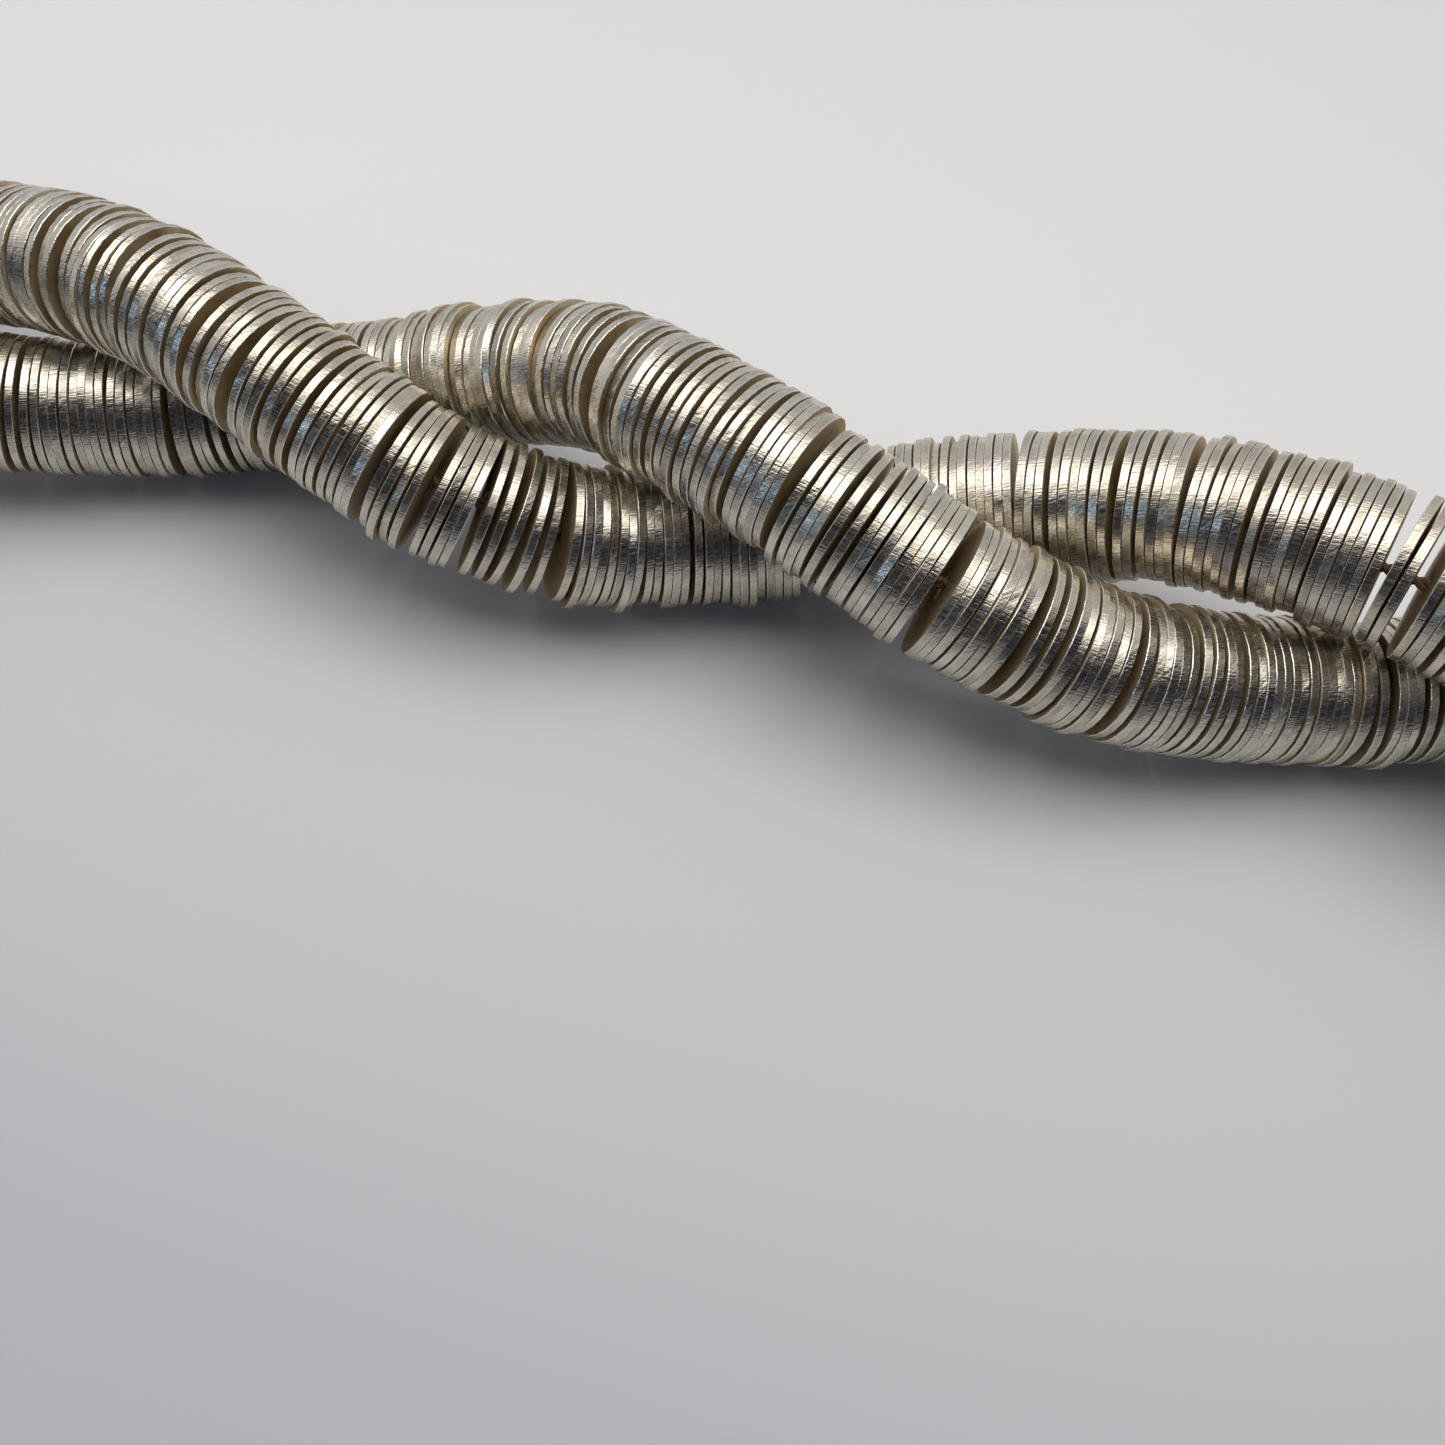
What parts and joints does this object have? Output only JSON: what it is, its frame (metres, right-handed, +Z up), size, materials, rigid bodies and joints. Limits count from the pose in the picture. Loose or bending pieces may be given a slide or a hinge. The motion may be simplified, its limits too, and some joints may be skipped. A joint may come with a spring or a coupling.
{
  "type": "twisted disc bead rope",
  "caption": "Two strands of thin flat metal discs, each strung on a thread, twisted round each other like rope and knotted together at both ends; it bends and its discs slide.",
  "frame": {"origin": "middle of the bounding box's underside, on the plane the rope lies on", "axes": "+X along the rope, +Z up"},
  "size_m": [0.2412, 0.0264, 0.0211],
  "materials": {
    "disc_metal": "brushed silver plate, rims scratched across, faces dull with a warm tarnish",
    "thread": "two-ply twisted thread, tan brown, lightly waxed"
  },
  "bodies": {
    "link_01": {"thread_01": "thread", "stop_knot_a_left": "thread", "stop_knot_b_left": "thread", "lead_threads_left": "thread", "tie_knot_left": "thread", "cut_ends_left": "thread"},
    "stack_a_01": {"discs_a_01": "disc_metal"},
    "stack_b_01": {"discs_b_01": "disc_metal"},
    "link_02": {"thread_02": "thread"},
    "stack_a_02": {"discs_a_02": "disc_metal"},
    "stack_b_02": {"discs_b_02": "disc_metal"},
    "link_03": {"thread_03": "thread"},
    "stack_a_03": {"discs_a_03": "disc_metal"},
    "stack_b_03": {"discs_b_03": "disc_metal"},
    "link_04": {"thread_04": "thread"},
    "stack_a_04": {"discs_a_04": "disc_metal"},
    "stack_b_04": {"discs_b_04": "disc_metal"},
    "link_05": {"thread_05": "thread"},
    "stack_a_05": {"discs_a_05": "disc_metal"},
    "stack_b_05": {"discs_b_05": "disc_metal"},
    "link_06": {"thread_06": "thread"},
    "stack_a_06": {"discs_a_06": "disc_metal"},
    "stack_b_06": {"discs_b_06": "disc_metal"},
    "link_07": {"thread_07": "thread"},
    "stack_a_07": {"discs_a_07": "disc_metal"},
    "stack_b_07": {"discs_b_07": "disc_metal"},
    "link_08": {"thread_08": "thread"},
    "stack_a_08": {"discs_a_08": "disc_metal"},
    "stack_b_08": {"discs_b_08": "disc_metal"},
    "link_09": {"thread_09": "thread"},
    "stack_a_09": {"discs_a_09": "disc_metal"},
    "stack_b_09": {"discs_b_09": "disc_metal"},
    "link_10": {"thread_10": "thread"},
    "stack_a_10": {"discs_a_10": "disc_metal"},
    "stack_b_10": {"discs_b_10": "disc_metal"},
    "link_11": {"thread_11": "thread"},
    "stack_a_11": {"discs_a_11": "disc_metal"},
    "stack_b_11": {"discs_b_11": "disc_metal"},
    "link_12": {"thread_12": "thread"},
    "stack_a_12": {"discs_a_12": "disc_metal"},
    "stack_b_12": {"discs_b_12": "disc_metal"},
    "link_13": {"thread_13": "thread"},
    "stack_a_13": {"discs_a_13": "disc_metal"},
    "stack_b_13": {"discs_b_13": "disc_metal"},
    "link_14": {"thread_14": "thread"},
    "stack_a_14": {"discs_a_14": "disc_metal"},
    "stack_b_14": {"discs_b_14": "disc_metal"},
    "link_15": {"thread_15": "thread", "stop_knot_a_right": "thread", "stop_knot_b_right": "thread", "lead_threads_right": "thread", "tie_knot_right": "thread", "cut_ends_right": "thread"},
    "stack_a_15": {"discs_a_15": "disc_metal"},
    "stack_b_15": {"discs_b_15": "disc_metal"}
  },
  "joints": [
    {"name": "sway_01", "type": "hinge", "parent": "link_02", "child": "link_01", "pos_m": [-0.07973, -0.00258, 0.01055], "axis": [0, 0, -1], "range_deg": [-2, 2]},
    {"name": "lift_02", "type": "hinge", "parent": "link_03", "child": "link_02", "pos_m": [-0.06747, -0.00283, 0.01055], "axis": [0, 1, 0], "range_deg": [-2, 2]},
    {"name": "sway_03", "type": "hinge", "parent": "link_04", "child": "link_03", "pos_m": [-0.0552, -0.00261, 0.01055], "axis": [0, 0, -1], "range_deg": [-2, 2]},
    {"name": "lift_04", "type": "hinge", "parent": "link_05", "child": "link_04", "pos_m": [-0.04293, -0.00128, 0.01055], "axis": [0, 1, 0], "range_deg": [-2, 2]},
    {"name": "sway_05", "type": "hinge", "parent": "link_06", "child": "link_05", "pos_m": [-0.03067, 0.0001, 0.01055], "axis": [0, 0, -1], "range_deg": [-2, 2]},
    {"name": "lift_06", "type": "hinge", "parent": "link_07", "child": "link_06", "pos_m": [-0.0184, 0.00037, 0.01055], "axis": [0, 1, 0], "range_deg": [-2, 2]},
    {"name": "sway_07", "type": "hinge", "parent": "link_08", "child": "link_07", "pos_m": [-0.00613, 0.00047, 0.01055], "axis": [0, 0, -1], "range_deg": [-2, 2]},
    {"name": "sway_08", "type": "hinge", "parent": "link_08", "child": "link_09", "pos_m": [0.00613, 0.00091, 0.01055], "axis": [0, 0, 1], "range_deg": [-2, 2]},
    {"name": "lift_09", "type": "hinge", "parent": "link_09", "child": "link_10", "pos_m": [0.0184, 0.00121, 0.01055], "axis": [0, -1, 0], "range_deg": [-2, 2]},
    {"name": "sway_10", "type": "hinge", "parent": "link_10", "child": "link_11", "pos_m": [0.03067, 0.00154, 0.01055], "axis": [0, 0, 1], "range_deg": [-2, 2]},
    {"name": "lift_11", "type": "hinge", "parent": "link_11", "child": "link_12", "pos_m": [0.04293, 0.00221, 0.01055], "axis": [0, -1, 0], "range_deg": [-2, 2]},
    {"name": "sway_12", "type": "hinge", "parent": "link_12", "child": "link_13", "pos_m": [0.0552, 0.00288, 0.01055], "axis": [0, 0, 1], "range_deg": [-2, 2]},
    {"name": "lift_13", "type": "hinge", "parent": "link_13", "child": "link_14", "pos_m": [0.06747, 0.00304, 0.01055], "axis": [0, -1, 0], "range_deg": [-2, 2]},
    {"name": "sway_14", "type": "hinge", "parent": "link_14", "child": "link_15", "pos_m": [0.07973, 0.00287, 0.01055], "axis": [0, 0, 1], "range_deg": [-2, 2]},
    {"name": "slide_a_01", "type": "slide", "parent": "link_01", "child": "stack_a_01", "axis": [0.9501, 0.2676, -0.1605], "range_m": [-0.00015, 0.00015]},
    {"name": "slide_b_01", "type": "slide", "parent": "link_01", "child": "stack_b_01", "axis": [0.9312, -0.3286, 0.1575], "range_m": [-0.00015, 0.00015]},
    {"name": "slide_a_02", "type": "slide", "parent": "link_02", "child": "stack_a_02", "axis": [0.9495, 0.2929, 0.1125], "range_m": [-0.00015, 0.00015]},
    {"name": "slide_b_02", "type": "slide", "parent": "link_02", "child": "stack_b_02", "axis": [0.9368, -0.3319, -0.1107], "range_m": [-0.00015, 0.00015]},
    {"name": "slide_a_03", "type": "slide", "parent": "link_03", "child": "stack_a_03", "axis": [0.943, 0.1466, 0.2988], "range_m": [-0.00015, 0.00015]},
    {"name": "slide_b_03", "type": "slide", "parent": "link_03", "child": "stack_b_03", "axis": [0.9468, -0.1167, -0.2999], "range_m": [-0.00015, 0.00015]},
    {"name": "slide_a_04", "type": "slide", "parent": "link_04", "child": "stack_a_04", "axis": [0.9563, -0.0146, 0.2919], "range_m": [-0.00015, 0.00015]},
    {"name": "slide_b_04", "type": "slide", "parent": "link_04", "child": "stack_b_04", "axis": [0.9312, 0.2291, -0.2835], "range_m": [-0.00015, 0.00015]},
    {"name": "slide_a_05", "type": "slide", "parent": "link_05", "child": "stack_a_05", "axis": [0.9743, -0.1868, 0.126], "range_m": [-0.00015, 0.00015]},
    {"name": "slide_b_05", "type": "slide", "parent": "link_05", "child": "stack_b_05", "axis": [0.9121, 0.3926, -0.1184], "range_m": [-0.00015, 0.00015]},
    {"name": "slide_a_06", "type": "slide", "parent": "link_06", "child": "stack_a_06", "axis": [0.9443, -0.2968, -0.142], "range_m": [-0.00015, 0.00015]},
    {"name": "slide_b_06", "type": "slide", "parent": "link_06", "child": "stack_b_06", "axis": [0.9345, 0.3277, 0.1391], "range_m": [-0.00015, 0.00015]},
    {"name": "slide_a_07", "type": "slide", "parent": "link_07", "child": "stack_a_07", "axis": [0.9298, -0.0992, -0.3543], "range_m": [-0.00015, 0.00015]},
    {"name": "slide_b_07", "type": "slide", "parent": "link_07", "child": "stack_b_07", "axis": [0.9293, 0.1051, 0.3541], "range_m": [-0.00015, 0.00015]},
    {"name": "slide_a_08", "type": "slide", "parent": "link_08", "child": "stack_a_08", "axis": [0.8824, 0.3594, -0.3036], "range_m": [-0.00015, 0.00015]},
    {"name": "slide_b_08", "type": "slide", "parent": "link_08", "child": "stack_b_08", "axis": [0.9026, -0.2972, 0.3116], "range_m": [-0.00015, 0.00015]},
    {"name": "slide_a_09", "type": "slide", "parent": "link_09", "child": "stack_a_09", "axis": [0.9289, 0.3607, 0.0844], "range_m": [-0.00015, 0.00015]},
    {"name": "slide_b_09", "type": "slide", "parent": "link_09", "child": "stack_b_09", "axis": [0.9429, -0.3217, -0.0863], "range_m": [-0.00015, 0.00015]},
    {"name": "slide_a_10", "type": "slide", "parent": "link_10", "child": "stack_a_10", "axis": [0.9389, 0.2025, 0.2783], "range_m": [-0.00015, 0.00015]},
    {"name": "slide_b_10", "type": "slide", "parent": "link_10", "child": "stack_b_10", "axis": [0.947, -0.156, -0.2808], "range_m": [-0.00015, 0.00015]},
    {"name": "slide_a_11", "type": "slide", "parent": "link_11", "child": "stack_a_11", "axis": [0.9484, -0.0654, 0.3102], "range_m": [-0.00015, 0.00015]},
    {"name": "slide_b_11", "type": "slide", "parent": "link_11", "child": "stack_b_11", "axis": [0.9361, 0.1736, -0.3058], "range_m": [-0.00015, 0.00015]},
    {"name": "slide_a_12", "type": "slide", "parent": "link_12", "child": "stack_a_12", "axis": [0.9564, -0.2542, 0.1438], "range_m": [-0.00015, 0.00015]},
    {"name": "slide_b_12", "type": "slide", "parent": "link_12", "child": "stack_b_12", "axis": [0.9258, 0.3514, -0.1394], "range_m": [-0.00015, 0.00015]},
    {"name": "slide_a_13", "type": "slide", "parent": "link_13", "child": "stack_a_13", "axis": [0.9451, -0.3024, -0.1236], "range_m": [-0.00015, 0.00015]},
    {"name": "slide_b_13", "type": "slide", "parent": "link_13", "child": "stack_b_13", "axis": [0.938, 0.3245, 0.122], "range_m": [-0.00015, 0.00015]},
    {"name": "slide_a_14", "type": "slide", "parent": "link_14", "child": "stack_a_14", "axis": [0.939, -0.1318, -0.3177], "range_m": [-0.00015, 0.00015]},
    {"name": "slide_b_14", "type": "slide", "parent": "link_14", "child": "stack_b_14", "axis": [0.942, 0.1053, 0.3188], "range_m": [-0.00015, 0.00015]},
    {"name": "slide_a_15", "type": "slide", "parent": "link_15", "child": "stack_a_15", "axis": [0.9461, 0.1276, -0.2977], "range_m": [-0.00015, 0.00015]},
    {"name": "slide_b_15", "type": "slide", "parent": "link_15", "child": "stack_b_15", "axis": [0.9346, -0.2007, 0.2936], "range_m": [-0.00015, 0.00015]}
  ]
}
